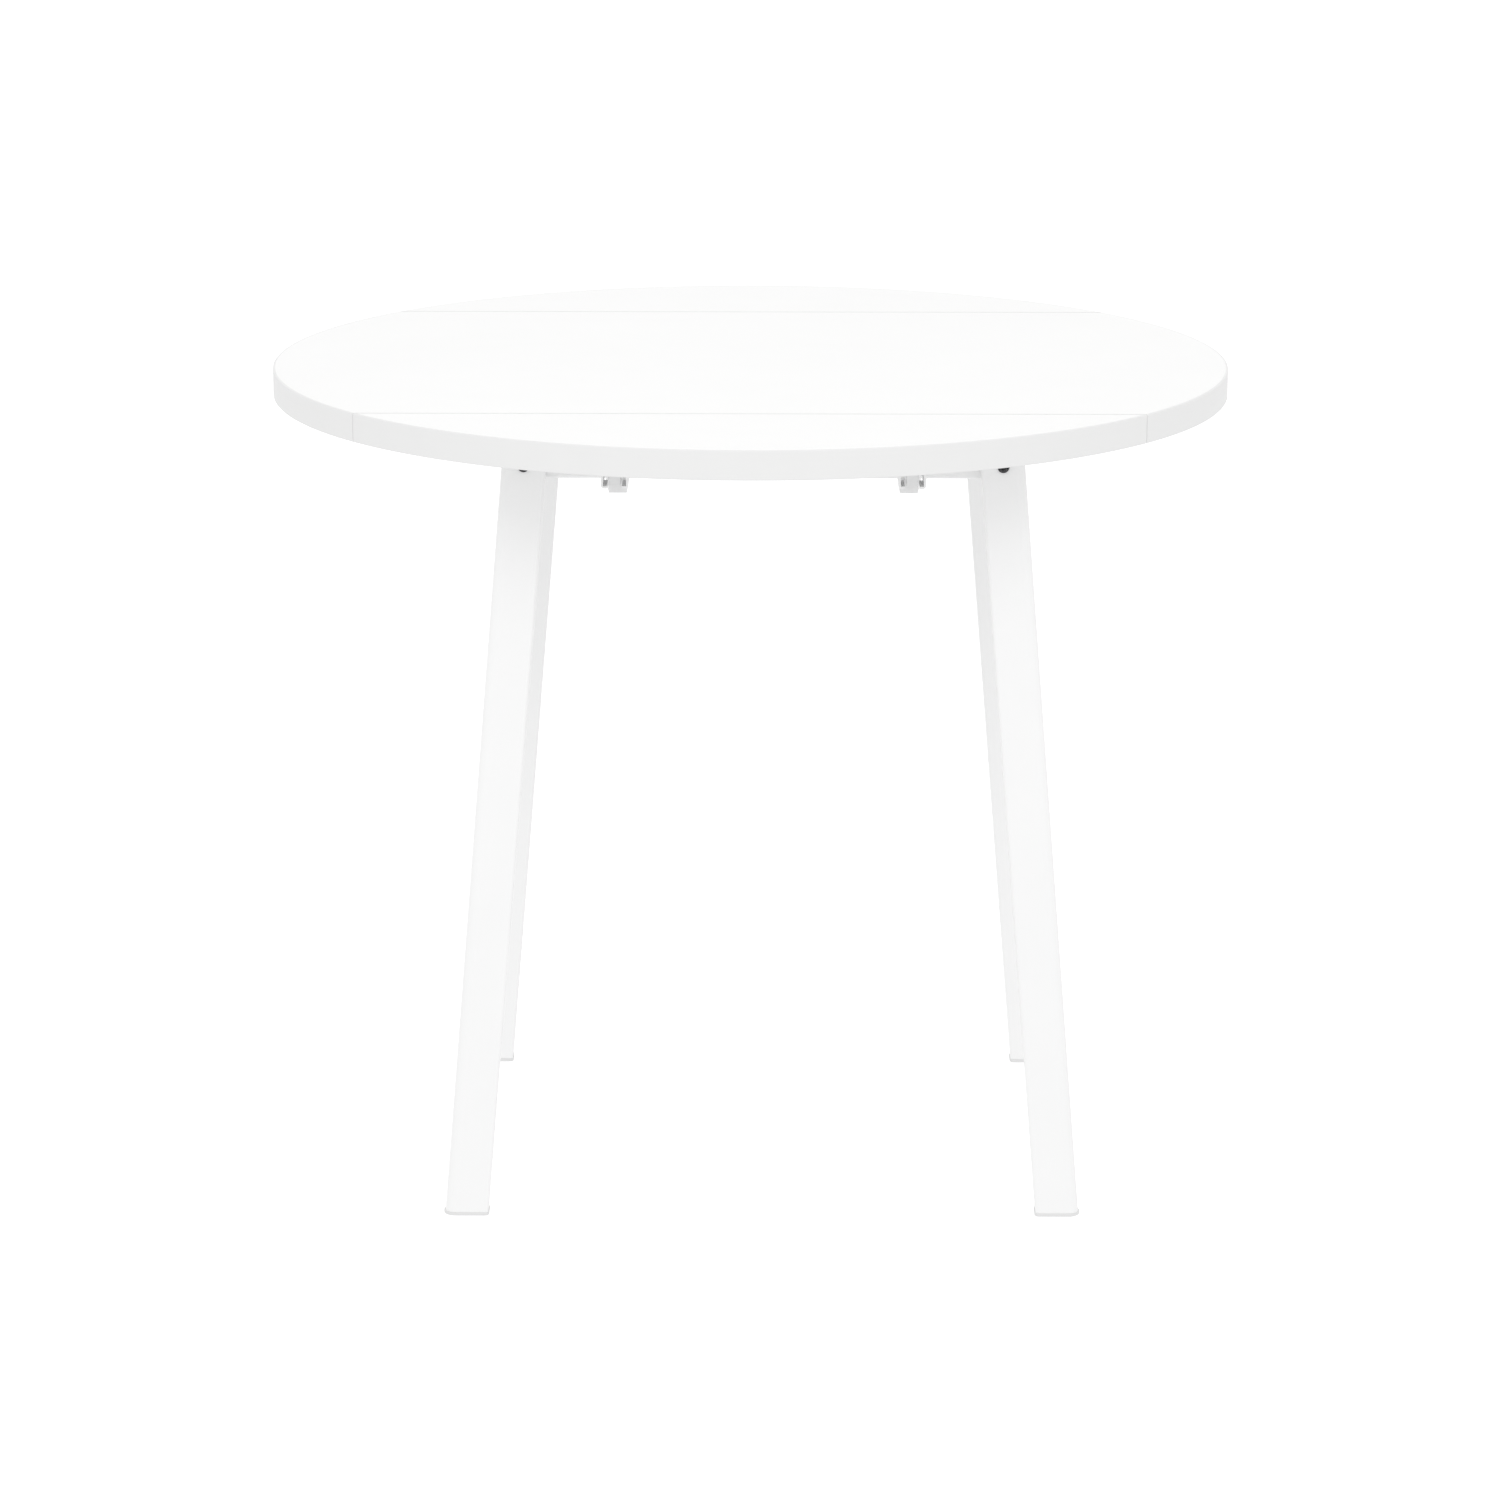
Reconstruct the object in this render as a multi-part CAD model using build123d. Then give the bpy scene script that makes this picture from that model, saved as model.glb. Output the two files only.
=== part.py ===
from build123d import *

import math
import os

# Round drop-leaf table on a white steel frame. A fixed centre section is carried by
# four rails and four splayed legs. A leaf hangs on each long side of it, on two folding
# brackets that hold the leaf level with a catch and let it hang down when released.
#
# Millimetres. +Z is up, the floor is Z = 0, and the origin is on the floor under the
# middle of the round top. -Y is the front. The seams between the leaves and the centre
# section run along X.

# ---------------------------------------------------------------- driving dimensions
TABLE_HEIGHT = 762.0
TOP_DIAMETER = 889.0
TOP_THICKNESS = 26.0
SEAM_Y = 275.0  # distance of each seam from the middle of the top
SEAM_GAP = 1.0
RIM_BAND = 2.0  # edging round the outside of the top
SEAM_BAND = 1.0  # edging along the straight edges
RIM_SOFTENING = 0.7  # bevel on the edges of the rim

FRAME_OFFSET_X = 12.0  # the frame sits this far to the right of the top's middle
TUBE_WIDE = 40.0  # the legs' rectangular tube
TUBE_DEEP = 20.0
RAIL_HIGH = 44.0  # the rails' tube is a little taller and just as deep
TUBE_WALL = 1.5
TUBE_CORNER = 2.5
INNER_CORNER = 0.8  # least corner radius inside a tube or a plug
LEG_FACE_Y = 236.0  # outer face of the legs, front and back
LEG_OUTER_TOP = 231.0  # outer edge of a leg under the top, from the frame's middle
LEG_OUTER_FOOT = 294.0  # the same at the floor
LEG_TOP_GAP = 1.0
RAIL_SETBACK = 4.0  # the long rails end this far short of the legs' outer edges
SIDE_RAIL_INSET = 60.0  # middle of a side rail, in from the end of the long rails
PLUG_CAP = 2.0
PLUG_CORE = 7.0
PLUG_WALL = 1.5
PLUG_EASE = 0.1  # gap all round between a plastic plug and the tube it is pushed into
LEG_OUTER_R = 9.5  # each leg's outer edge is nearly half round; its other corners are TUBE_CORNER

FOOT_FLANGE = 3.0
FOOT_PROUD = 1.0  # how far the foot stands out round the tube
FOOT_PLUG = 20.0
FOOT_WALL = 1.9
FOOT_SOFTENING = 1.0

BOLT_R = 3.0
BOLT_HEAD_R = 5.25
BOLT_HEAD = 3.3
BOLT_SOCKET_AF = 4.0
BOLT_DROPS = (11.0, 29.0)  # below the underside of the top
BOLT_LENGTH = 30.0
NUT_AF = 10.0
NUT_THICK = 5.0
HOLE_EASE = 0.2  # added to a screw or bolt's radius where it passes through steel

SCREW_R = 2.0
SCREW_HEAD_R = 3.5
SCREW_HEAD = 2.2
SCREW_LENGTH = 16.0
SCREW_POINT = 4.0
SCREW_POINT_R = 0.3
SCREW_HEAD_ROUND = 0.8
CROSS_HALF_LONG = 2.0  # cross recess in a screw's head
CROSS_HALF_WIDE = 0.4
CROSS_DEEP = 1.2
SCREW_ACCESS_R = 5.0
LONG_RAIL_SCREW_X = 80.0  # from the frame's middle
SIDE_RAIL_SCREW_Y = 110.0

BRACKET_X = 129.0  # brackets sit this far each side of the frame's middle
PIVOT_DROP = 10.0  # pivot below the underside of the top
PLATE = 2.0  # bracket steel
LEAF_CHANNEL_HALF = 12.0
LEAF_CHANNEL_REACH = 75.0
LEAF_CHANNEL_DEEP = 26.0
LEAF_CHANNEL_CORNER = 1.9
LIP_START = 46.0  # the lips begin beyond the reach of the fixed channel's corner
LIP_INNER = 6.5
FIXED_CHANNEL_HALF = 9.6
FIXED_CHANNEL_REACH = 56.0
FIXED_CHANNEL_DEEP = 41.0
BRIDGE_OUT = -20.0  # face of the plate across the fixed channel's cheeks, out from the hinge pin
BRIDGE_TOP = -24.0
BRIDGE_BOTTOM = -39.0
BRIDGE_FOOT_HALF = 8.0  # the plate narrows to this below the cheeks
WEB_GAP = 1.0  # each channel's web stops this far short of the hinge pin
KNUCKLE_R = 7.5
HINGE_PIN_R = 2.5
HINGE_PIN_HEAD_R = 4.5
HINGE_PIN_HEAD = 1.5
HINGE_PIN_PLAY = 0.1  # between a plate and the pin's head
WASHER_R = 6.5
RUNNING_GAP = 0.05  # radial clearance where a plate turns on a pin

STOP_RADIUS = 22.0  # stop pin's distance from the hinge pin
STOP_ANGLE = 251.5
STOP_PIN_R = 1.5
CATCH_PIVOT = 40.0  # catch's rivet, out from the hinge pin
CATCH_PIN_R = 2.0
RIVET_HEAD_R = 3.5
RIVET_HEAD = 1.2
FIXED_SCREWS = (-47.0, -31.0)  # bracket screws, out from the hinge pin
LEAF_SCREWS = (14.0, 54.0)
CATCH_HALF = 5.0
CATCH_BOSS_HALF = 9.5
CATCH_BOSS_R = 4.5
HOOK_GAP = 0.1  # between the hook's face and the stop pin
HOOK_BACK_ANGLE = 10.5  # back of the hook, past the stop pin, about the hinge pin
HOOK_OVERHANG = 0.6  # how far the hook reaches past the middle of the stop pin
HOOK_PASS_GAP = 0.4  # room for the stop pin to pass over the hook's throat
SPRING_HALF = 4.0

# ---------------------------------------------------------------- worked-out dimensions
TOP_R = TOP_DIAMETER / 2
UNDERSIDE = TABLE_HEIGHT - TOP_THICKNESS
RAIL_BOTTOM = UNDERSIDE - RAIL_HIGH
RAIL_FACE_Y = LEG_FACE_Y - TUBE_DEEP
RAIL_HALF = LEG_OUTER_TOP - RAIL_SETBACK
SIDE_RAIL_X = RAIL_HALF - SIDE_RAIL_INSET
LEG_AXIS_TOP = LEG_OUTER_TOP - TUBE_WIDE / 2
LEG_AXIS_FOOT = LEG_OUTER_FOOT - TUBE_WIDE / 2
LEG_SLOPE = (LEG_AXIS_FOOT - LEG_AXIS_TOP) / UNDERSIDE
PIVOT_Z = UNDERSIDE - PIVOT_DROP
WEB_UNDER = PIVOT_DROP - PLATE  # underside of a channel's web, above the hinge pin
EPS = 0.01
BIG = 2000.0

SIDES = {"left": -1, "right": 1}
ENDS = {"front": -1, "back": 1}


# ---------------------------------------------------------------- small tools
def save(name, *solids):
    """Write one sub-part as parts/NAME.step."""
    shape = solids[0] if len(solids) == 1 else Compound(children=list(solids))
    export_step(shape, f"parts/{name}.step")


def block(x, y, z):
    """A box between three (low, high) pairs."""
    size = [high - low for low, high in (x, y, z)]
    middle = [(high + low) / 2 for low, high in (x, y, z)]
    return Pos(*middle) * Box(*size)


def rod(radius, start, end, axis):
    """A round bar along X, Y or Z; start and end are its two end points."""
    middle = [(a + b) / 2 for a, b in zip(start, end)]
    length = max(abs(b - a) for a, b in zip(start, end))
    turn = {"x": (0, 90, 0), "y": (90, 0, 0), "z": (0, 0, 0)}[axis]
    return Pos(*middle) * Rot(*turn) * Cylinder(radius, length)


def hexagon(across_flats, centre, length, axis):
    """A six-sided bar along Y or Z, centred on a point."""
    turn = {"y": (90, 0, 0), "z": (0, 0, 0)}[axis]
    face = RegularPolygon(across_flats / 2, 6, major_radius=False)
    return Pos(*centre) * Rot(*turn) * extrude(face, length / 2, both=True)


# ---------------------------------------------------------------- the round top
def round_slab(radius, y_low, y_high):
    """The stretch of a round slab between two lines parallel to X."""
    disc = Pos(0, 0, UNDERSIDE + TOP_THICKNESS / 2) * Cylinder(radius, TOP_THICKNESS)
    strip = block((-BIG, BIG), (y_low, y_high), (0, BIG))
    return disc & strip


def rim_ring():
    """The whole rim band, its outer edges softened above and below."""
    slab = Pos(0, 0, UNDERSIDE + TOP_THICKNESS / 2) * Cylinder(TOP_R, TOP_THICKNESS)
    slab = chamfer(slab.edges().filter_by(GeomType.CIRCLE), RIM_SOFTENING)
    return slab - round_slab(TOP_R - RIM_BAND, -BIG, BIG)


def seam_band(y_low, y_high):
    """Straight edging, between the two ends of the rim band."""
    return round_slab(TOP_R - RIM_BAND, y_low, y_high)


def screw_holes(places):
    """Pilot holes up into the underside of the top."""
    tip = UNDERSIDE + SCREW_LENGTH
    return [rod(SCREW_R, (x, y, UNDERSIDE - 1), (x, y, tip), "z") for x, y in places]


def make_top(fixed_screws, leaf_screws):
    ring = rim_ring()
    edge = SEAM_Y - SEAM_GAP / 2
    panel = round_slab(TOP_R - RIM_BAND, SEAM_BAND - edge, edge - SEAM_BAND)
    save("centre_panel", panel - screw_holes(fixed_screws))
    for side, sx in SIDES.items():
        half = block(sorted((0, sx * BIG)), (-edge, edge), (0, BIG))
        save(f"centre_rim_edging_{side}", ring & half)
    for end, sy in ENDS.items():
        near, far = sy * (edge - SEAM_BAND), sy * edge
        save(f"centre_seam_edging_{end}", seam_band(*sorted((near, far))))
        make_leaf(end, sy, ring, leaf_screws[end])


def make_leaf(end, sy, ring, screws):
    edge = SEAM_Y + SEAM_GAP / 2
    panel = round_slab(TOP_R - RIM_BAND, *sorted((sy * (edge + SEAM_BAND), sy * BIG)))
    save(f"{end}_leaf_panel", panel - screw_holes(screws))
    save(f"{end}_leaf_rim_edging", ring & block((-BIG, BIG), sorted((sy * edge, sy * BIG)), (0, BIG)))
    near, far = sy * edge, sy * (edge + SEAM_BAND)
    save(f"{end}_leaf_seam_edging", seam_band(*sorted((near, far))))


# ---------------------------------------------------------------- screws into the top
def wood_screw(x, y, seat):
    """A pan-head screw driven up through a plate whose lower face is at seat."""
    head = rod(SCREW_HEAD_R, (x, y, seat - SCREW_HEAD), (x, y, seat), "z")
    lower = head.edges().filter_by(GeomType.CIRCLE).sort_by(Axis.Z)[0]
    head = fillet(lower, SCREW_HEAD_ROUND)
    shank = rod(SCREW_R, (x, y, seat), (x, y, seat + SCREW_LENGTH - SCREW_POINT), "z")
    point = Cone(SCREW_R, SCREW_POINT_R, SCREW_POINT)
    point = Pos(x, y, seat + SCREW_LENGTH - SCREW_POINT / 2) * point
    cut = (seat - SCREW_HEAD - 1, seat - SCREW_HEAD + CROSS_DEEP)
    long_x, long_y = (x - CROSS_HALF_LONG, x + CROSS_HALF_LONG), (y - CROSS_HALF_LONG, y + CROSS_HALF_LONG)
    wide_x, wide_y = (x - CROSS_HALF_WIDE, x + CROSS_HALF_WIDE), (y - CROSS_HALF_WIDE, y + CROSS_HALF_WIDE)
    return head + shank + point - block(long_x, wide_y, cut) - block(wide_x, long_y, cut)


# ---------------------------------------------------------------- rails
def tube_section(width, depth, inset):
    return RectangleRounded(width - 2 * inset, depth - 2 * inset, max(TUBE_CORNER - inset, INNER_CORNER))


def rail(length, centre, along):
    """A length of tube standing on edge, with its wide side upright."""
    plane = {"x": Plane.YZ, "y": Plane.XZ}[along]
    outer = extrude(plane * tube_section(TUBE_DEEP, RAIL_HIGH, 0), length / 2, both=True)
    inner = extrude(plane * tube_section(TUBE_DEEP, RAIL_HIGH, TUBE_WALL), length / 2, both=True)
    return Pos(*centre) * (outer - inner)


def frame_screw_places():
    """Where the rails are screwed to the centre panel, by rail."""
    y_long = RAIL_FACE_Y - TUBE_DEEP / 2
    places = {}
    for end, sy in ENDS.items():
        places[end] = [(FRAME_OFFSET_X + sx * LONG_RAIL_SCREW_X, sy * y_long) for sx in (-1, 1)]
    for side, sx in SIDES.items():
        x = FRAME_OFFSET_X + sx * SIDE_RAIL_X
        places[side] = [(x, sy * SIDE_RAIL_SCREW_Y) for sy in (-1, 1)]
    return places


def drill_for_screws(shape, places):
    """Screw holes in a rail's top wall and wider access holes in its bottom wall."""
    for x, y in places:
        shape -= rod(SCREW_R + HOLE_EASE, (x, y, UNDERSIDE - 3), (x, y, UNDERSIDE + 1), "z")
        shape -= rod(SCREW_ACCESS_R, (x, y, RAIL_BOTTOM - 1), (x, y, RAIL_BOTTOM + 3), "z")
    return shape


def make_rails(places):
    middle_z = UNDERSIDE - RAIL_HIGH / 2
    rail_y = RAIL_FACE_Y - TUBE_DEEP / 2
    for end, sy in ENDS.items():
        shape = rail(2 * RAIL_HALF, (FRAME_OFFSET_X, sy * rail_y, middle_z), "x")
        for x, z in bolt_places():
            shape -= bolt_hole(x, z, sy * (RAIL_FACE_Y + 1), sy * (RAIL_FACE_Y - 3))
        save(f"{end}_rail", drill_for_screws(shape, places[end]))
    length = 2 * (RAIL_FACE_Y - TUBE_DEEP)
    for side, sx in SIDES.items():
        shape = rail(length, (FRAME_OFFSET_X + sx * SIDE_RAIL_X, 0, middle_z), "y")
        save(f"{side}_rail", drill_for_screws(shape, places[side]))
    plugs = []
    for sy in ENDS.values():
        for sx in SIDES.values():
            plugs.append(rail_plug(sx, sy * rail_y, middle_z))
    save("rail_end_plugs", *plugs)
    flat = [place for group in places.values() for place in group]
    save("frame_screws", *[wood_screw(x, y, UNDERSIDE - TUBE_WALL) for x, y in flat])


def rail_plug(sx, y, z):
    """Plastic cap pushed into the open end of a long rail."""
    outside = TUBE_WALL + PLUG_EASE
    cap = extrude(Plane.YZ * tube_section(TUBE_DEEP, RAIL_HIGH, 0), sx * PLUG_CAP)
    core = extrude(Plane.YZ * tube_section(TUBE_DEEP, RAIL_HIGH, outside), -sx * PLUG_CORE)
    hollow = tube_section(TUBE_DEEP, RAIL_HIGH, outside + PLUG_WALL)
    hollow = extrude(Plane.YZ * hollow, -sx * (PLUG_CORE + 1))
    return Pos(FRAME_OFFSET_X + sx * RAIL_HALF, y, z) * (cap + (core - hollow))


# ---------------------------------------------------------------- legs and feet
def leg_axis_x(z):
    """Distance of a leg's middle line from the frame's middle, at a height."""
    return LEG_AXIS_TOP + LEG_SLOPE * (UNDERSIDE - z)


def leg_section(sx, inset):
    """The leg tube's outline, drawn in by inset, with its outer edge rounded more than its inner one."""
    outline = Rectangle(TUBE_WIDE - 2 * inset, TUBE_DEEP - 2 * inset)
    outline = fillet(outline.vertices().filter_by(lambda v: v.X * sx > 0), LEG_OUTER_R - inset)
    inner = outline.vertices().filter_by(lambda v: abs(v.X + sx * (TUBE_WIDE / 2 - inset)) < EPS)
    return fillet(inner, max(TUBE_CORNER - inset, INNER_CORNER))


def leg_prism(sx, sy, inset, z_low, z_high):
    """A splayed bar with level ends, the tube's outline drawn in by inset."""
    x = FRAME_OFFSET_X + sx * leg_axis_x(z_low)
    y = sy * (LEG_FACE_Y - TUBE_DEEP / 2)
    face = Pos(x, y, z_low) * leg_section(sx, inset)
    rise = z_high - z_low
    run = -sx * LEG_SLOPE * rise
    return extrude(face, math.hypot(rise, run), dir=(run, 0, rise))


def bolt_places():
    """Leg bolts as (x, z), the same on the front and the back."""
    places = []
    for sx in SIDES.values():
        for drop in BOLT_DROPS:
            z = UNDERSIDE - drop
            places.append((FRAME_OFFSET_X + sx * leg_axis_x(z), z))
    return places


def bolt_hole(x, z, start_y, end_y):
    return rod(BOLT_R + HOLE_EASE, (x, start_y, z), (x, end_y, z), "y")


def leg(sx, sy):
    top = UNDERSIDE - LEG_TOP_GAP
    shape = leg_prism(sx, sy, 0, FOOT_FLANGE, top) - leg_prism(sx, sy, TUBE_WALL, FOOT_FLANGE - 1, top + 1)
    for x, z in bolt_places():
        if (x - FRAME_OFFSET_X) * sx > 0:
            shape -= bolt_hole(x, z, sy * (LEG_FACE_Y + 1), sy * (RAIL_FACE_Y - 1))
    return shape


def foot(sx, sy):
    """Plastic foot: a flange on the floor and a hollow plug up inside the leg."""
    x = FRAME_OFFSET_X + sx * leg_axis_x(0)
    y = sy * (LEG_FACE_Y - TUBE_DEEP / 2)
    flange = extrude(Pos(x, y, 0) * leg_section(sx, -FOOT_PROUD), FOOT_FLANGE)
    flange = fillet(flange.faces().sort_by(Axis.Z)[0].edges(), FOOT_SOFTENING)
    outside = TUBE_WALL + PLUG_EASE
    plug = leg_prism(sx, sy, outside, FOOT_FLANGE - EPS, FOOT_FLANGE + FOOT_PLUG)
    hollow = leg_prism(sx, sy, outside + FOOT_WALL, FOOT_FLANGE + 1, FOOT_FLANGE + FOOT_PLUG + 1)
    return flange + (plug - hollow)


def leg_bolt(x, z, sy):
    """Button-head bolt with a hexagon socket, through the leg into the rail."""
    face = sy * LEG_FACE_Y
    tip = sy * (LEG_FACE_Y - BOLT_LENGTH)
    crown = sy * (LEG_FACE_Y + BOLT_HEAD)
    head = rod(BOLT_HEAD_R, (x, face, z), (x, crown, z), "y")
    outer = head.edges().filter_by(GeomType.CIRCLE).sort_by(Axis.Y)[-1 if sy > 0 else 0]
    head = fillet(outer, BOLT_HEAD * 0.75)
    socket = hexagon(BOLT_SOCKET_AF, (x, crown, z), 4.0, "y")
    return head + rod(BOLT_R, (x, face, z), (x, tip, z), "y") - socket


def weld_nut(x, z, sy):
    """Nut welded to the inside of the rail's face."""
    y = sy * (RAIL_FACE_Y - TUBE_WALL - NUT_THICK / 2)
    bore = rod(BOLT_R, (x, y - NUT_THICK, z), (x, y + NUT_THICK, z), "y")
    return hexagon(NUT_AF, (x, y, z), NUT_THICK, "y") - bore


def make_legs():
    bolts, nuts = [], []
    for end, sy in ENDS.items():
        for side, sx in SIDES.items():
            save(f"leg_{end}_{side}", leg(sx, sy))
            save(f"foot_{end}_{side}", foot(sx, sy))
        bolts += [leg_bolt(x, z, sy) for x, z in bolt_places()]
        nuts += [weld_nut(x, z, sy) for x, z in bolt_places()]
    save("leg_bolts", *bolts)
    save("weld_nuts", *nuts)


# ---------------------------------------------------------------- folding brackets
# A bracket is drawn in the plane of its plates: out is the distance from the hinge pin
# away from the middle of the table, up is the height above the hinge pin.
def polar(radius, angle):
    return radius * math.cos(math.radians(angle)), radius * math.sin(math.radians(angle))


def profile(points, low, high):
    """A flat outline of (out, up) points, thick from low to high across the bracket."""
    plane = Plane(origin=(low, 0, 0), x_dir=(0, 1, 0), z_dir=(1, 0, 0))
    return extrude(plane * make_face(Polyline(*points, close=True)), high - low)


def disc(radius, out, up, low, high):
    return Pos((low + high) / 2, out, up) * Rot(0, 90, 0) * Cylinder(radius, high - low)


def both_sides(make, low, high):
    """The same plate on the left and on the right of the bracket."""
    return make(low, high) + make(-high, -low)


def fixed_channel():
    """U-shaped steel channel under the centre section, its deep cheeks round the hinge pin."""
    deep = PIVOT_DROP - FIXED_CHANNEL_DEEP
    outline = [
        (-FIXED_CHANNEL_REACH, WEB_UNDER),
        (-FIXED_CHANNEL_REACH, WEB_UNDER - 12),
        (-34, deep + 6),
        (-22, deep),
        (0, deep),
        (3, deep + 3),
        (KNUCKLE_R, 0),
        (0, 0),
        (-WEB_GAP, WEB_UNDER),
    ]

    def cheek(low, high):
        return profile(outline, low, high) + disc(KNUCKLE_R, 0, 0, low, high)

    walls = both_sides(cheek, FIXED_CHANNEL_HALF - PLATE, FIXED_CHANNEL_HALF)
    web = block(
        (-FIXED_CHANNEL_HALF, FIXED_CHANNEL_HALF),
        (-FIXED_CHANNEL_REACH, -WEB_GAP),
        (WEB_UNDER, PIVOT_DROP),
    )
    shape = walls + web + bridge(deep)
    shape -= disc(HINGE_PIN_R, 0, 0, -20, 20)
    shape -= disc(STOP_PIN_R, *polar(STOP_RADIUS, STOP_ANGLE), -20, 20)
    return drill_web(shape, FIXED_SCREWS)


def bridge(cheek_bottom):
    """Plate across the fixed channel, standing below its cheeks with its lower corners cut off."""
    half = [
        (FIXED_CHANNEL_HALF, BRIDGE_TOP),
        (FIXED_CHANNEL_HALF, cheek_bottom),
        (BRIDGE_FOOT_HALF, BRIDGE_BOTTOM),
    ]
    outline = half + [(-x, up) for x, up in reversed(half)]
    plane = Plane(origin=(0, BRIDGE_OUT, 0), x_dir=(1, 0, 0), z_dir=(0, -1, 0))
    return extrude(plane * make_face(Polyline(*outline, close=True)), PLATE)


def leaf_channel():
    """Channel under the leaf, outside the fixed one, with folded-in lips along its lower edges."""
    deep = PIVOT_DROP - LEAF_CHANNEL_DEEP
    outline = [
        (0, WEB_UNDER),
        (-KNUCKLE_R, 0),
        (-KNUCKLE_R + 2, deep + 6),
        (4, deep),
        (LEAF_CHANNEL_REACH, deep),
        (LEAF_CHANNEL_REACH, WEB_UNDER),
    ]

    def cheek(low, high):
        return profile(outline, low, high) + disc(KNUCKLE_R, 0, 0, low, high)

    half = LEAF_CHANNEL_HALF
    walls = both_sides(cheek, half - PLATE, half)
    web = block((-half, half), (WEB_GAP, LEAF_CHANNEL_REACH), (WEB_UNDER, PIVOT_DROP))

    def lip(low, high):
        return block((low, high), (LIP_START, LEAF_CHANNEL_REACH), (deep, deep + PLATE))

    lips = both_sides(lip, LIP_INNER, half - PLATE)
    shape = walls + web + lips
    corners = shape.edges().filter_by(Axis.Y).filter_by(
        lambda e: abs(abs(e.center().X) - half) < EPS and abs(e.center().Z - deep) < EPS
    )
    shape = chamfer(corners, LEAF_CHANNEL_CORNER)
    shape -= disc(HINGE_PIN_R + RUNNING_GAP, 0, 0, -20, 20)
    shape -= disc(CATCH_PIN_R, CATCH_PIVOT, 0, -20, 20)
    return drill_web(shape, LEAF_SCREWS)


def drill_web(shape, outs):
    for out in outs:
        shape -= rod(SCREW_R + HOLE_EASE, (0, out, 0), (0, out, PIVOT_DROP + 5), "z")
    return shape


def catch():
    """Catch lever: a hook at the hinge end, a boss on its rivet and a finger pad at the far end."""
    pin_out, pin_up = polar(STOP_RADIUS, STOP_ANGLE)
    # The hook's face is an arc about the rivet, so it slides past the stop pin as the catch is lifted.
    face_radius = math.hypot(CATCH_PIVOT - pin_out, pin_up) - STOP_PIN_R - HOOK_GAP
    face_angle = math.degrees(math.atan2(pin_up, pin_out - CATCH_PIVOT))

    def face(angle):
        out, up = polar(face_radius, face_angle + angle)
        return CATCH_PIVOT + out, up

    hook_back = STOP_ANGLE + HOOK_BACK_ANGLE
    hook_tip = STOP_RADIUS + HOOK_OVERHANG
    pass_radius = STOP_RADIUS - STOP_PIN_R - HOOK_PASS_GAP
    outline = [
        polar(9.0, hook_back - 4),
        face(-0.8),
        face(2.4),
        polar(hook_tip, hook_back),
        polar(pass_radius, hook_back),
        (0, 1.5 - pass_radius),
        (10, -15),
        (16, -10),
        (19.5, -5.0),
        (CATCH_PIVOT - 8, -5),
        (CATCH_PIVOT, -CATCH_BOSS_R),
        (56, -5),
        (62, -14),
        (70, -14),
        (70, 7.8),
        (64, 7.8),
        (62, 1),
        (CATCH_PIVOT, CATCH_BOSS_R),
        (CATCH_PIVOT - 8, 3),
        (18, -1),
        (10, -7.5),
    ]
    boss = disc(CATCH_BOSS_R, CATCH_PIVOT, 0, -CATCH_BOSS_HALF, CATCH_BOSS_HALF)
    shape = profile(outline, -CATCH_HALF, CATCH_HALF) + boss
    return shape - disc(CATCH_PIN_R + RUNNING_GAP, CATCH_PIVOT, 0, -20, 20)


def catch_spring():
    """Flat spring on the leaf channel that presses the hook end of the catch down."""
    outline = [
        (34, WEB_UNDER),
        (24, WEB_UNDER),
        (13.2, -3.9),
        (10, -3.2),
        (10, -3.8),
        (13.0, -4.7),
        (24.4, WEB_UNDER - 0.6),
        (34, WEB_UNDER - 0.6),
    ]
    return profile(outline, -SPRING_HALF, SPRING_HALF)


def headed_pin(radius, head_r, head_thick, half, out):
    """A rivet across the bracket, level with the hinge pin, with a head outside each plate."""

    def head(low, high):
        return disc(head_r, out, 0, low, high)

    return disc(radius, out, 0, -half, half) + both_sides(head, half, half + head_thick)


def washer(low, high):
    return disc(WASHER_R, 0, 0, low, high) - disc(HINGE_PIN_R, 0, 0, low - 1, high + 1)


def place_bracket(shape, sx, sy):
    """Set a drawn bracket piece at one of the four places; out points away from the middle."""
    turned = shape if sy > 0 else Rot(0, 0, 180) * shape
    return Pos(FRAME_OFFSET_X + sx * BRACKET_X, sy * SEAM_Y, PIVOT_Z) * turned


def bracket_screw_places(sx, sy, outs):
    return [(FRAME_OFFSET_X + sx * BRACKET_X, sy * (SEAM_Y + out)) for out in outs]


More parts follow.
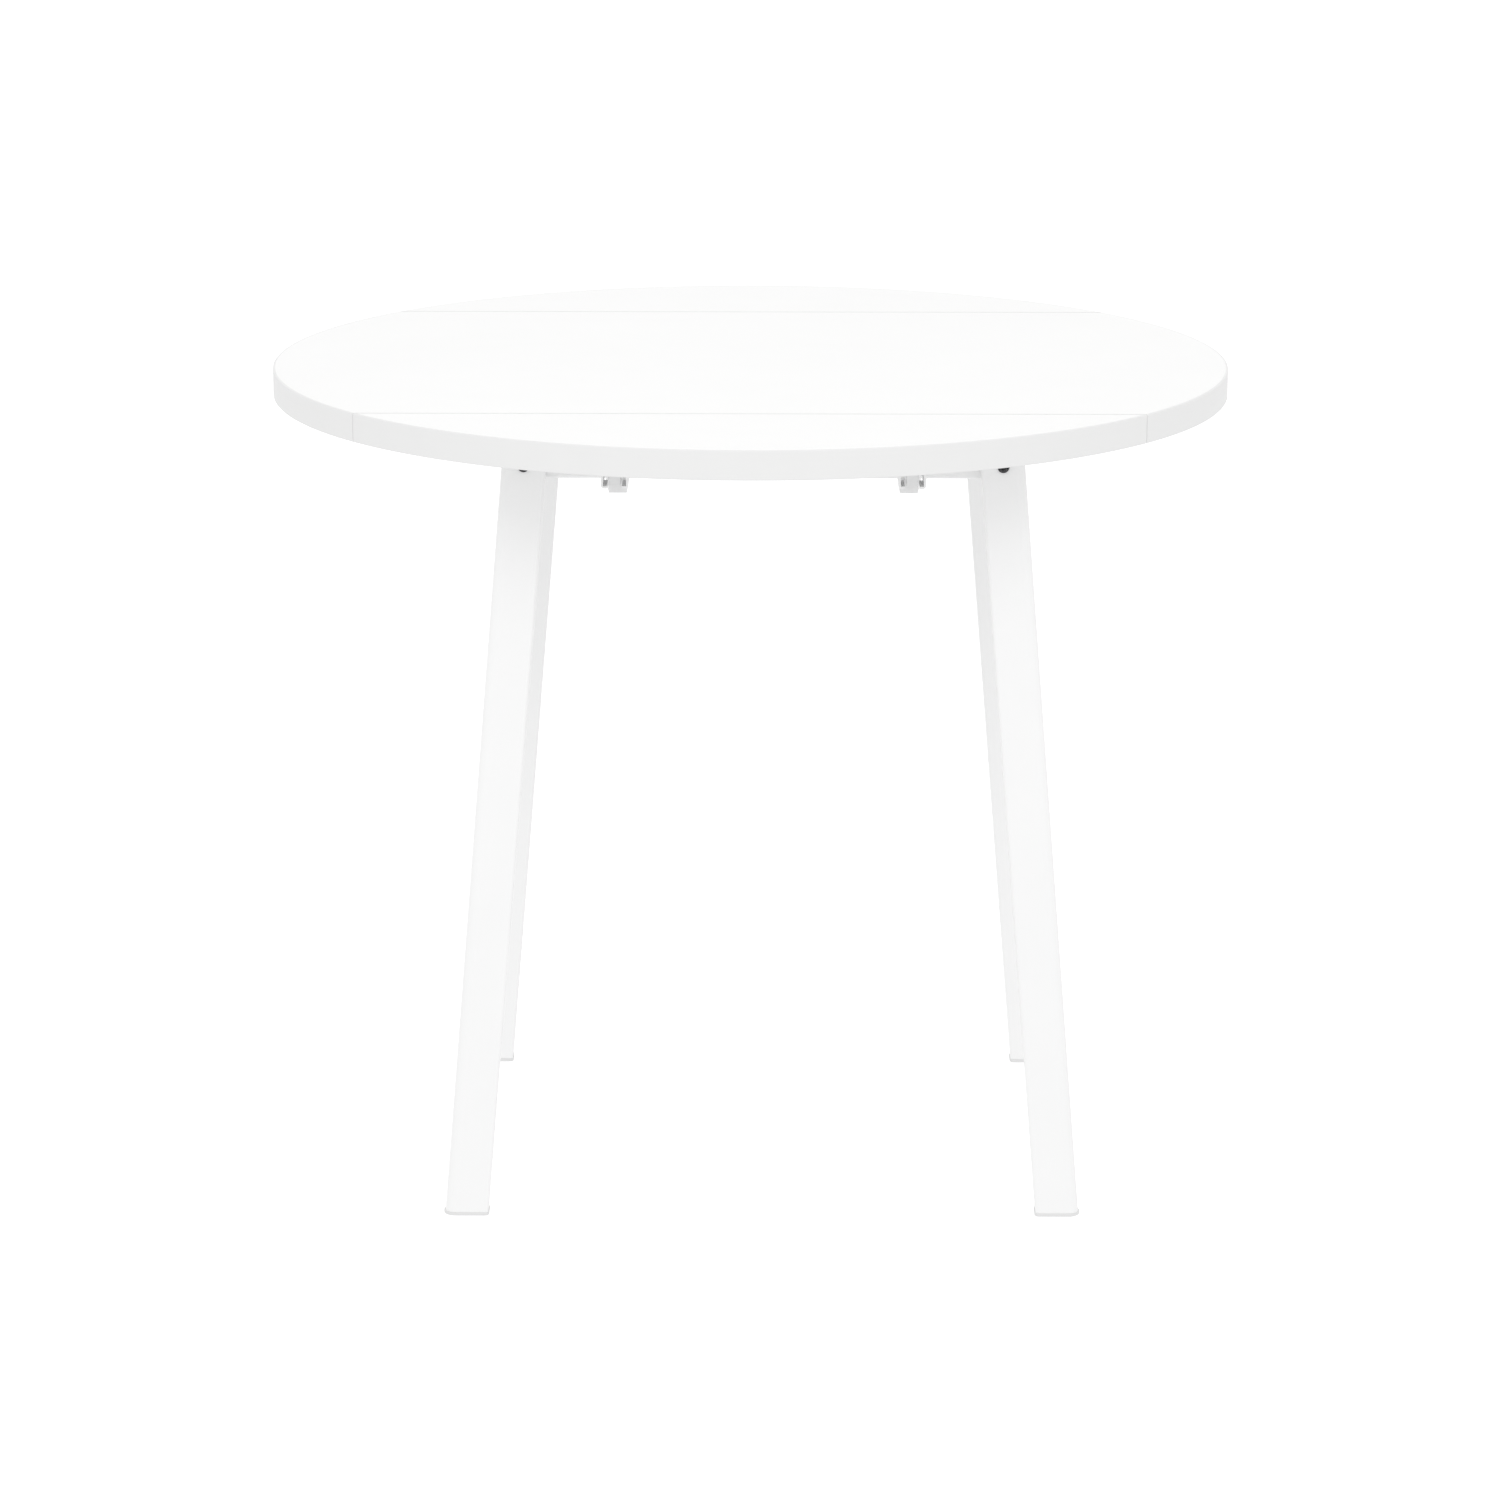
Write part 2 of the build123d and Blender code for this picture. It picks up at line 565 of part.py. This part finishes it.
def make_brackets():
    seat = UNDERSIDE - PLATE
    gap = (FIXED_CHANNEL_HALF, LEAF_CHANNEL_HALF - PLATE)
    pin_half = LEAF_CHANNEL_HALF + HINGE_PIN_PLAY
    hinge_pin = headed_pin(HINGE_PIN_R, HINGE_PIN_HEAD_R, HINGE_PIN_HEAD, pin_half, 0)
    catch_rivet = headed_pin(CATCH_PIN_R, RIVET_HEAD_R, RIVET_HEAD, LEAF_CHANNEL_HALF, CATCH_PIVOT)
    stop_pin = disc(STOP_PIN_R, *polar(STOP_RADIUS, STOP_ANGLE), -FIXED_CHANNEL_HALF, FIXED_CHANNEL_HALF)
    washers = [washer(*gap), washer(-gap[1], -gap[0])]
    pins, stops, thin_washers, fixed_screws = [], [], [], []
    for end, sy in ENDS.items():
        rivets, leaf_screws = [], []
        for side, sx in SIDES.items():
            name = f"{end}_{side}"
            save(f"fixed_channel_{name}", place_bracket(fixed_channel(), sx, sy))
            save(f"leaf_channel_{name}", place_bracket(leaf_channel(), sx, sy))
            save(f"catch_{name}", place_bracket(catch(), sx, sy))
            save(f"catch_spring_{name}", place_bracket(catch_spring(), sx, sy))
            pins.append(place_bracket(hinge_pin, sx, sy))
            stops.append(place_bracket(stop_pin, sx, sy))
            thin_washers += [place_bracket(w, sx, sy) for w in washers]
            rivets.append(place_bracket(catch_rivet, sx, sy))
            fixed_screws += [wood_screw(x, y, seat) for x, y in bracket_screw_places(sx, sy, FIXED_SCREWS)]
            leaf_screws += [wood_screw(x, y, seat) for x, y in bracket_screw_places(sx, sy, LEAF_SCREWS)]
        save(f"catch_rivets_{end}", *rivets)
        save(f"leaf_bracket_screws_{end}", *leaf_screws)
    save("hinge_pins", *pins)
    save("stop_pins", *stops)
    save("hinge_washers", *thin_washers)
    save("fixed_bracket_screws", *fixed_screws)


# ---------------------------------------------------------------- the whole table
def main():
    os.makedirs("parts", exist_ok=True)
    rail_screws = frame_screw_places()
    fixed = [place for group in rail_screws.values() for place in group]
    leaf = {}
    for end, sy in ENDS.items():
        leaf[end] = []
        for sx in SIDES.values():
            fixed += bracket_screw_places(sx, sy, FIXED_SCREWS)
            leaf[end] += bracket_screw_places(sx, sy, LEAF_SCREWS)
    make_top(fixed, leaf)
    make_rails(rail_screws)
    make_legs()
    make_brackets()


main()
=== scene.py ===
import math

import bpy
from mathutils import Matrix, Vector

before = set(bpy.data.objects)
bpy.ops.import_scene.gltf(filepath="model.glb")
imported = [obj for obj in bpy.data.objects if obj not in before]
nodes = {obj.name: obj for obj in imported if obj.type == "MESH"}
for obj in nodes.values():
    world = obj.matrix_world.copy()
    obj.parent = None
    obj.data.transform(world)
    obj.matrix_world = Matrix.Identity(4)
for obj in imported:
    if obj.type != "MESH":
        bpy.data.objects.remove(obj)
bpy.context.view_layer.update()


# ------------------------------------------------------------------ boards of the top
# The centre section and the two leaves are chipboard pressed between sheets of white melamine paper.
# The press plate leaves a fine pearl texture, and the chips underneath show through as a faint waviness.

def new_finish(name):
    """An empty material for one finish: its node tree, its shader and the place on the object in metres."""
    finish = bpy.data.materials.new(name)
    finish.use_nodes = True
    tree = finish.node_tree
    shader = tree.nodes["Principled BSDF"]
    place = tree.nodes.new("ShaderNodeTexCoord").outputs["Object"]
    return finish, tree, shader, place


def stretched(tree, place, scale):
    """The same place with each direction multiplied by its own scale, for marks that run one way."""
    mapping = tree.nodes.new("ShaderNodeMapping")
    mapping.inputs["Scale"].default_value = scale
    tree.links.new(place, mapping.inputs["Vector"])
    return mapping.outputs["Vector"]


def mottle(tree, place, size, detail=2.0, roughness=0.5):
    """Soft random patches of the given size in metres, from 0 to 1."""
    noise = tree.nodes.new("ShaderNodeTexNoise")
    noise.inputs["Scale"].default_value = 1 / size
    noise.inputs["Detail"].default_value = detail
    noise.inputs["Roughness"].default_value = roughness
    tree.links.new(place, noise.inputs["Vector"])
    return noise.outputs["Fac"]


def spread(tree, value, low, high, from_low=0.3, from_high=0.7):
    """Patches turned into a value between low and high."""
    ramp = tree.nodes.new("ShaderNodeMapRange")
    for name, number in (("From Min", from_low), ("From Max", from_high), ("To Min", low), ("To Max", high)):
        ramp.inputs[name].default_value = number
    tree.links.new(value, ramp.inputs["Value"])
    return ramp.outputs["Result"]


# The mix node has a socket of each kind, so its colour sockets are told apart by number.
FACTOR = 0
COLOUR_A = 6
COLOUR_B = 7
COLOUR_OUT = 2


def tint(tree, value, dark, light):
    """A colour between dark where value is 0 and light where it is 1."""
    mix = tree.nodes.new("ShaderNodeMix")
    mix.data_type = "RGBA"
    mix.inputs[COLOUR_A].default_value = (*dark, 1)
    mix.inputs[COLOUR_B].default_value = (*light, 1)
    tree.links.new(value, mix.inputs[FACTOR])
    return mix.outputs[COLOUR_OUT]


def relief(tree, shader, *layers):
    """Raises the surface by each layer: (height from 0 to 1, full height in metres)."""
    normal = None
    for height, depth in layers:
        bump = tree.nodes.new("ShaderNodeBump")
        bump.inputs["Distance"].default_value = depth
        tree.links.new(height, bump.inputs["Height"])
        if normal is not None:
            tree.links.new(normal, bump.inputs["Normal"])
        normal = bump.outputs["Normal"]
    tree.links.new(normal, shader.inputs["Normal"])


def dress(finish, *names):
    """Gives CAD nodes a finish."""
    for name in names:
        slots = nodes[name].data.materials
        slots.clear()
        slots.append(finish)


CLOUD = 0.14  # widths of the marks, in metres
RUBBED = 0.05
PEARL = 0.0009
CHIP = 0.006
PEARL_HEIGHT = 0.00002
CHIP_HEIGHT = 0.00003
MELAMINE_SHINE = 0.45

laminate, tree, shader, place = new_finish("white_melamine")
clouds = mottle(tree, place, CLOUD, detail=3.0)
tree.links.new(tint(tree, clouds, (0.885, 0.886, 0.882), (0.91, 0.91, 0.906)), shader.inputs["Base Color"])
rubbed = mottle(tree, place, RUBBED, detail=5.0, roughness=0.6)
tree.links.new(spread(tree, rubbed, 0.32, 0.37), shader.inputs["Roughness"])
pearl = mottle(tree, place, PEARL)
chips = mottle(tree, place, CHIP, detail=1.0)
relief(tree, shader, (chips, CHIP_HEIGHT), (pearl, PEARL_HEIGHT))
shader.inputs["Specular IOR Level"].default_value = MELAMINE_SHINE

dress(laminate, "centre_panel", "front_leaf_panel", "back_leaf_panel")


# ------------------------------------------------------------------ edging
# Every cut edge is covered with a white plastic strip, glued on hot and trimmed flush with the boards.
# The strip is a shade greyer than the boards, with fine lines along it where it was drawn and scraped.

LINE = 0.0004
LINE_RUN = 0.25
PATCH = 0.03
PORE = 0.0007
LINE_HEIGHT = 0.00001
PORE_HEIGHT = 0.00001

edging, tree, shader, place = new_finish("white_edging")
lines = mottle(tree, stretched(tree, place, (1 / LINE_RUN, 1 / LINE_RUN, 1 / LINE)), 1.0, detail=3.0)
patches = mottle(tree, place, PATCH, detail=3.0)
tree.links.new(tint(tree, patches, (0.78, 0.781, 0.779), (0.80, 0.80, 0.798)), shader.inputs["Base Color"])
tree.links.new(spread(tree, lines, 0.32, 0.46), shader.inputs["Roughness"])
pores = mottle(tree, place, PORE)
relief(tree, shader, (lines, LINE_HEIGHT), (pores, PORE_HEIGHT))

dress(edging, "centre_rim_edging_left", "centre_rim_edging_right")
dress(edging, "front_leaf_rim_edging", "back_leaf_rim_edging")
dress(edging, "centre_seam_edging_front", "centre_seam_edging_back")
dress(edging, "front_leaf_seam_edging", "back_leaf_seam_edging")


# ------------------------------------------------------------------ rails and legs
# Rectangular steel tube, sawn, drilled and welded, then powder coated white and baked.
# The powder flows into a fine orange peel and is a little thinner and greyer here and there.

COVERAGE = 0.045
PEEL = 0.0016
GRIT = 0.0005
PEEL_HEIGHT = 0.00004
GRIT_HEIGHT = 0.000012

frame_paint, tree, shader, place = new_finish("white_powder_coat")
coverage = mottle(tree, place, COVERAGE, detail=4.0)
coat = tint(tree, coverage, (0.885, 0.887, 0.888), (0.912, 0.912, 0.911))
tree.links.new(coat, shader.inputs["Base Color"])
peel = mottle(tree, place, PEEL, detail=1.0)
grit = mottle(tree, place, GRIT)
tree.links.new(spread(tree, peel, 0.31, 0.42), shader.inputs["Roughness"])
relief(tree, shader, (peel, PEEL_HEIGHT), (grit, GRIT_HEIGHT))

ENDS = ("front", "back")
SIDES = ("left", "right")
corners = [f"{end}_{side}" for end in ENDS for side in SIDES]
dress(frame_paint, *[f"{which}_rail" for which in ENDS + SIDES])
dress(frame_paint, *[f"leg_{corner}" for corner in corners])


# ------------------------------------------------------------------ feet and plugs
# Injection-moulded white plastic, pushed into the open ends of the legs and of the long rails, with
# the thin washers between the bracket plates. The mould was spark-eroded, so the skin is satin.

FLOW = 0.02
SPARK = 0.0004
SPARK_HEIGHT = 0.00002

moulded, tree, shader, place = new_finish("moulded_white_plastic")
flow = mottle(tree, place, FLOW)
tree.links.new(tint(tree, flow, (0.735, 0.736, 0.736), (0.76, 0.76, 0.758)), shader.inputs["Base Color"])
spark = mottle(tree, place, SPARK, detail=3.0)
tree.links.new(spread(tree, spark, 0.36, 0.50), shader.inputs["Roughness"])
relief(tree, shader, (spark, SPARK_HEIGHT))

dress(moulded, *[f"foot_{corner}" for corner in corners], "rail_end_plugs", "hinge_washers")


# ------------------------------------------------------------------ folding brackets
# Channels pressed from 2 mm sheet steel and powder coated, one under the centre section and one
# under the leaf at each bracket, with a catch lever between them that is coated a shade greyer.

PRESSED_COVERAGE = 0.012
PRESSED_PEEL = 0.0012
PRESSED_PEEL_HEIGHT = 0.00005
PRESSED_GRIT_HEIGHT = 0.00001


def pressed_coat(name, dark, light):
    """Powder coat on a small pressed part, thicker and a little lumpier than on the tube."""
    finish, tree, shader, place = new_finish(name)
    coverage = mottle(tree, place, PRESSED_COVERAGE, detail=4.0)
    tree.links.new(tint(tree, coverage, dark, light), shader.inputs["Base Color"])
    peel = mottle(tree, place, PRESSED_PEEL)
    tree.links.new(spread(tree, peel, 0.33, 0.48), shader.inputs["Roughness"])
    grit = mottle(tree, place, GRIT)
    relief(tree, shader, (peel, PRESSED_PEEL_HEIGHT), (grit, PRESSED_GRIT_HEIGHT))
    return finish


bracket_paint = pressed_coat("bracket_powder_coat", (0.87, 0.872, 0.873), (0.90, 0.90, 0.90))
catch_paint = pressed_coat("catch_powder_coat", (0.78, 0.783, 0.786), (0.83, 0.83, 0.83))
dress(bracket_paint, *[f"fixed_channel_{corner}" for corner in corners])
dress(bracket_paint, *[f"leaf_channel_{corner}" for corner in corners])
dress(catch_paint, *[f"catch_{corner}" for corner in corners])


# ------------------------------------------------------------------ catch springs
# A strip of hardened spring steel bent to press on each catch. It is rolled, so it has a bright
# grain along its length, with a faint straw colour left from tempering.

TEMPER = 0.01
GRAIN = 0.00025
GRAIN_RUN = 1 / 60
GRAIN_HEIGHT = 0.000006

spring_steel, tree, shader, place = new_finish("rolled_spring_steel")
shader.inputs["Metallic"].default_value = 1.0
temper = mottle(tree, place, TEMPER)
tree.links.new(tint(tree, temper, (0.50, 0.48, 0.44), (0.60, 0.60, 0.60)), shader.inputs["Base Color"])
grain = mottle(tree, stretched(tree, place, (1 / GRAIN, 1 / GRAIN_RUN, 1 / GRAIN_RUN)), 1.0)
tree.links.new(spread(tree, grain, 0.22, 0.38), shader.inputs["Roughness"])
relief(tree, shader, (grain, GRAIN_HEIGHT))

dress(spring_steel, *[f"catch_spring_{corner}" for corner in corners])


# ------------------------------------------------------------------ pins, rivets, screws and nuts
# Turned or headed steel, zinc plated and passivated, which leaves it bright with a faint blue and
# yellow cast that changes from place to place.

CAST = 0.003
DULL = 0.0008
DULL_HEIGHT = 0.000012

zinc, tree, shader, place = new_finish("bright_zinc_plate")
shader.inputs["Metallic"].default_value = 1.0
cast = mottle(tree, place, CAST, detail=3.0)
tree.links.new(tint(tree, cast, (0.58, 0.60, 0.65), (0.72, 0.70, 0.64)), shader.inputs["Base Color"])
dull = mottle(tree, place, DULL, detail=3.0)
tree.links.new(spread(tree, dull, 0.22, 0.42), shader.inputs["Roughness"])
relief(tree, shader, (dull, DULL_HEIGHT))

dress(zinc, "frame_screws", "weld_nuts", "hinge_pins", "stop_pins", "fixed_bracket_screws")
dress(zinc, *[f"catch_rivets_{end}" for end in ENDS])
dress(zinc, *[f"leaf_bracket_screws_{end}" for end in ENDS])


# ------------------------------------------------------------------ leg bolts
# Button-head socket bolts of black-oxide steel, two through each leg. The oxide is thin and oily,
# so the crown of the head shows a little steel where the key and fingers have rubbed it.

WORN = 0.0012
OILY = 0.0005
OILY_HEIGHT = 0.00001

black_oxide, tree, shader, place = new_finish("black_oxide")
shader.inputs["Metallic"].default_value = 1.0
worn = spread(tree, mottle(tree, place, WORN, detail=4.0, roughness=0.65), 0.0, 1.0, 0.45, 0.75)
tree.links.new(tint(tree, worn, (0.03, 0.031, 0.036), (0.16, 0.155, 0.15)), shader.inputs["Base Color"])
oily = mottle(tree, place, OILY)
tree.links.new(spread(tree, oily, 0.25, 0.45), shader.inputs["Roughness"])
relief(tree, shader, (oily, OILY_HEIGHT))

dress(black_oxide, "leg_bolts")


# ------------------------------------------------------------------ floor and light
# A lit white sweep under the table, in a plain pale room that is a little brighter below than above.
# One broad soft light stands in front, above the top, and a second hangs overhead.

FLOOR_HALF = 40.0
FLOOR_DROP = 0.0002
PAPER_MARK = 0.3
PAPER_GLOW = 0.30

mesh = bpy.data.meshes.new("floor")
ring = [(-1, -1), (1, -1), (1, 1), (-1, 1)]
mesh.from_pydata([(x * FLOOR_HALF, y * FLOOR_HALF, -FLOOR_DROP) for x, y in ring], [], [(0, 1, 2, 3)])
floor = bpy.data.objects.new("floor", mesh)
bpy.context.scene.collection.objects.link(floor)

paper, tree, shader, place = new_finish("white_paper")
marks = mottle(tree, place, PAPER_MARK)
tree.links.new(tint(tree, marks, (0.945, 0.945, 0.945), (0.955, 0.955, 0.955)), shader.inputs["Base Color"])
shader.inputs["Roughness"].default_value = 0.9
shader.inputs["Specular IOR Level"].default_value = 0.1
shader.inputs["Emission Color"].default_value = (1, 1, 1, 1)
shader.inputs["Emission Strength"].default_value = PAPER_GLOW
mesh.materials.append(paper)

# The floor is only seen. The room below the horizon stands for the light that comes back off it.
floor.visible_diffuse = False
floor.visible_glossy = False


def soft_light(name, size, power, place, target):
    lamp = bpy.data.lights.new(name, "AREA")
    lamp.shape = "ELLIPSE"
    lamp.size, lamp.size_y = size
    lamp.energy = power
    thing = bpy.data.objects.new(name, lamp)
    thing.location = place
    thing.rotation_euler = (Vector(target) - Vector(place)).to_track_quat("-Z", "Y").to_euler()
    bpy.context.scene.collection.objects.link(thing)


TABLE_MIDDLE = (0, 0, 0.5)
soft_light("front_above", size=(4.5, 1.4), power=20, place=(0.0, -3.2, 2.7), target=TABLE_MIDDLE)
soft_light("overhead", size=(2.5, 2.5), power=4, place=(0, 0.3, 3.2), target=TABLE_MIDDLE)

ROOM_ABOVE = 0.98
ROOM_BELOW = 1.05
HORIZON_BLEND = 0.05

world = bpy.data.worlds.new("pale_room")
bpy.context.scene.world = world
world.use_nodes = True
tree = world.node_tree
background = tree.nodes["Background"]
background.inputs["Color"].default_value = (1, 1, 1, 1)
direction = tree.nodes.new("ShaderNodeTexCoord").outputs["Generated"]
split = tree.nodes.new("ShaderNodeSeparateXYZ")
tree.links.new(direction, split.inputs["Vector"])
room = spread(tree, split.outputs["Z"], ROOM_BELOW, ROOM_ABOVE, -HORIZON_BLEND, HORIZON_BLEND)
tree.links.new(room, background.inputs["Strength"])

bpy.context.scene.view_settings.view_transform = "Standard"


# ------------------------------------------------------------------ camera
# A long lens at head height, square to the seams and looking a little down on the top.

SENSOR = 36.0
LENS = 113.39
FAR = 200.0
STANDPOINT = (0.0083, -4.3657, 1.5244)
TILT_DOWN = 0.2553  # turns in radians
PAN_LEFT = 0.0019
ROLL = 0.0014

camera = bpy.data.objects.new("camera", bpy.data.cameras.new("camera"))
camera.data.sensor_width = SENSOR
camera.data.lens = LENS
camera.data.clip_end = FAR
aim = Matrix.Rotation(PAN_LEFT, 4, "Z") @ Matrix.Rotation(math.pi / 2 - TILT_DOWN, 4, "X")
camera.matrix_world = Matrix.Translation(STANDPOINT) @ aim @ Matrix.Rotation(ROLL, 4, "Z")
bpy.context.scene.collection.objects.link(camera)
bpy.context.scene.camera = camera
